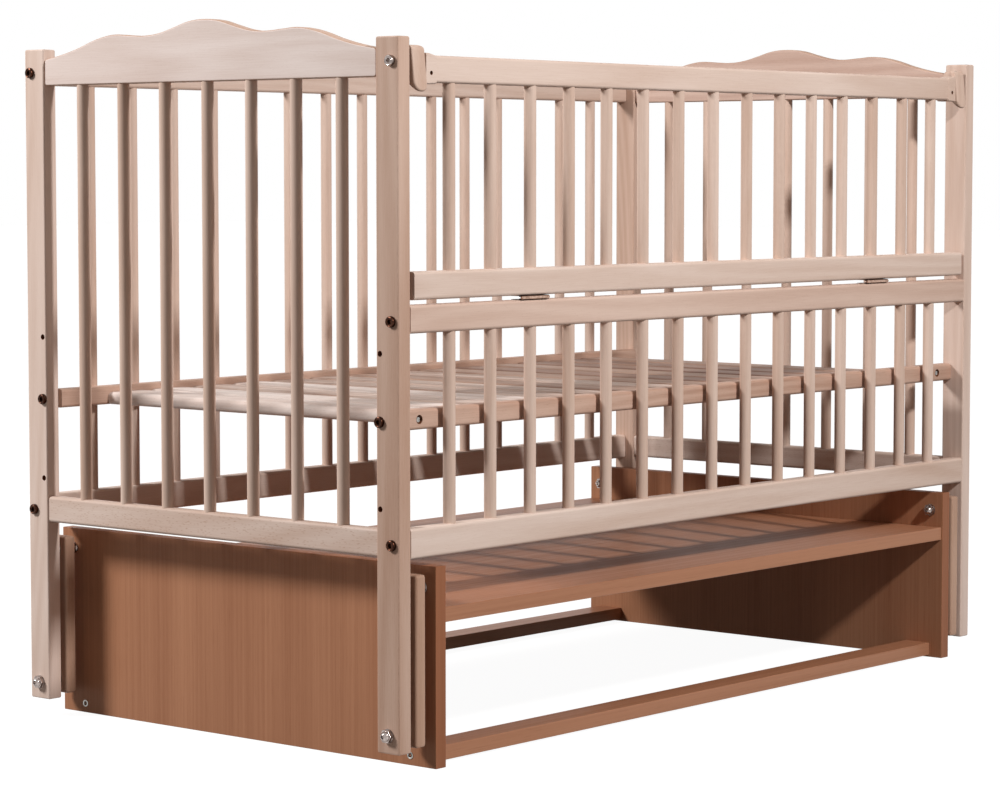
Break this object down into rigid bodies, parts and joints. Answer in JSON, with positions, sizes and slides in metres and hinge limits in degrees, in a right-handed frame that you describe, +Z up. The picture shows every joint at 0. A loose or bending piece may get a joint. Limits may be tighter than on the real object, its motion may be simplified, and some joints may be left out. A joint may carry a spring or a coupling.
{
  "type": "swinging crib",
  "caption": "Slatted wooden crib hung on a cross-swing stand by short links, with a fold-down front gate, turning latches, slatted mattress base and storage shelf.",
  "frame": {"origin": "on the floor under the middle of the crib", "axes": "+X along the crib's length, -Y the front with the folding gate, +Z up"},
  "size_m": [1.2606, 0.645, 0.882],
  "materials": {
    "beech": "pale clear-lacquered beech",
    "beech_shaded": "pale clear-lacquered beech, a little darker",
    "brown_laminate": "brown wood-print laminate on board",
    "chrome": "bright plated",
    "steel": "dull zinc plated"
  },
  "bodies": {
    "stand": {"panel_left": "brown_laminate", "panel_right": "brown_laminate", "shelf": "brown_laminate", "stretcher_front": "brown_laminate", "stretcher_back": "brown_laminate", "pivot_high_front_left": "chrome", "pivot_high_front_right": "chrome", "pivot_high_back_left": "chrome", "pivot_high_back_right": "chrome"},
    "link_front_left_body": {"link_front_left": "beech_shaded"},
    "link_front_right_body": {"link_front_right": "beech_shaded"},
    "link_back_left_body": {"link_back_left": "beech_shaded"},
    "link_back_right_body": {"link_back_right": "beech_shaded"},
    "cot": {"post_front_left": "beech", "post_front_right": "beech", "post_back_left": "beech", "post_back_right": "beech", "front_bars": "beech", "front_mid_rail": "beech", "back_bars": "beech_shaded", "back_top_rail": "beech_shaded", "end_bars_left": "beech", "end_bars_right": "beech", "crest_left": "beech", "crest_right": "beech", "base_bar_front": "beech", "base_bar_back": "beech", "slat_01": "beech_shaded", "slat_02": "beech_shaded", "slat_03": "beech_shaded", "slat_04": "beech_shaded", "slat_05": "beech_shaded", "slat_06": "beech_shaded", "slat_07": "beech_shaded", "slat_08": "beech_shaded", "slat_09": "beech_shaded", "slat_10": "beech_shaded", "slat_11": "beech_shaded", "slat_12": "beech_shaded", "slat_13": "beech_shaded", "slat_14": "beech_shaded", "hinge_fixed_left": "steel", "hinge_fixed_right": "steel", "flag_bolt_left": "chrome", "flag_bolt_right": "chrome", "pivot_low_front_left": "chrome", "pivot_low_front_right": "chrome", "pivot_low_back_left": "chrome", "pivot_low_back_right": "chrome"},
    "gate": {"gate_bars": "beech", "gate_top_rail": "beech", "hinge_gate_left": "steel", "hinge_gate_right": "steel", "gate_pin_left": "steel", "gate_pin_right": "steel"},
    "latch_left": {"flag_left": "beech"},
    "latch_right": {"flag_right": "beech"}
  },
  "joints": [
    {"name": "swing", "type": "hinge", "parent": "stand", "child": "link_front_left_body", "pos_m": [-0.5815, -0.3015, 0.2135], "axis": [1, 0, 0], "range_deg": [-10, 10]},
    {"name": "cot_on_link", "type": "hinge", "parent": "link_front_left_body", "child": "cot", "pos_m": [-0.5815, -0.3015, 0.0455], "axis": [1, 0, 0], "range_deg": [-10, 10]},
    {"name": "swing_front_right", "type": "hinge", "parent": "stand", "child": "link_front_right_body", "pos_m": [0.5815, -0.3015, 0.2135], "axis": [1, 0, 0], "range_deg": [-10, 10]},
    {"name": "swing_back_left", "type": "hinge", "parent": "stand", "child": "link_back_left_body", "pos_m": [-0.5815, 0.3015, 0.2135], "axis": [1, 0, 0], "range_deg": [-10, 10]},
    {"name": "swing_back_right", "type": "hinge", "parent": "stand", "child": "link_back_right_body", "pos_m": [0.5815, 0.3015, 0.2135], "axis": [1, 0, 0], "range_deg": [-10, 10]},
    {"name": "gate_fold", "type": "hinge", "parent": "cot", "child": "gate", "pos_m": [0, -0.3193, 0.5477], "axis": [1, 0, 0], "range_deg": [0, 180]},
    {"name": "latch_left_turn", "type": "hinge", "parent": "cot", "child": "latch_left", "pos_m": [-0.5833, -0.308, 0.825], "axis": [-1, 0, 0], "range_deg": [0, 90]},
    {"name": "latch_right_turn", "type": "hinge", "parent": "cot", "child": "latch_right", "pos_m": [0.5833, -0.308, 0.825], "axis": [-1, 0, 0], "range_deg": [0, 90]}
  ],
  "couplings": [
    {"joint": "cot_on_link", "follows": "swing", "ratio": -1},
    {"joint": "swing_front_right", "follows": "swing", "ratio": 1},
    {"joint": "swing_back_left", "follows": "swing", "ratio": 1},
    {"joint": "swing_back_right", "follows": "swing", "ratio": 1}
  ]
}
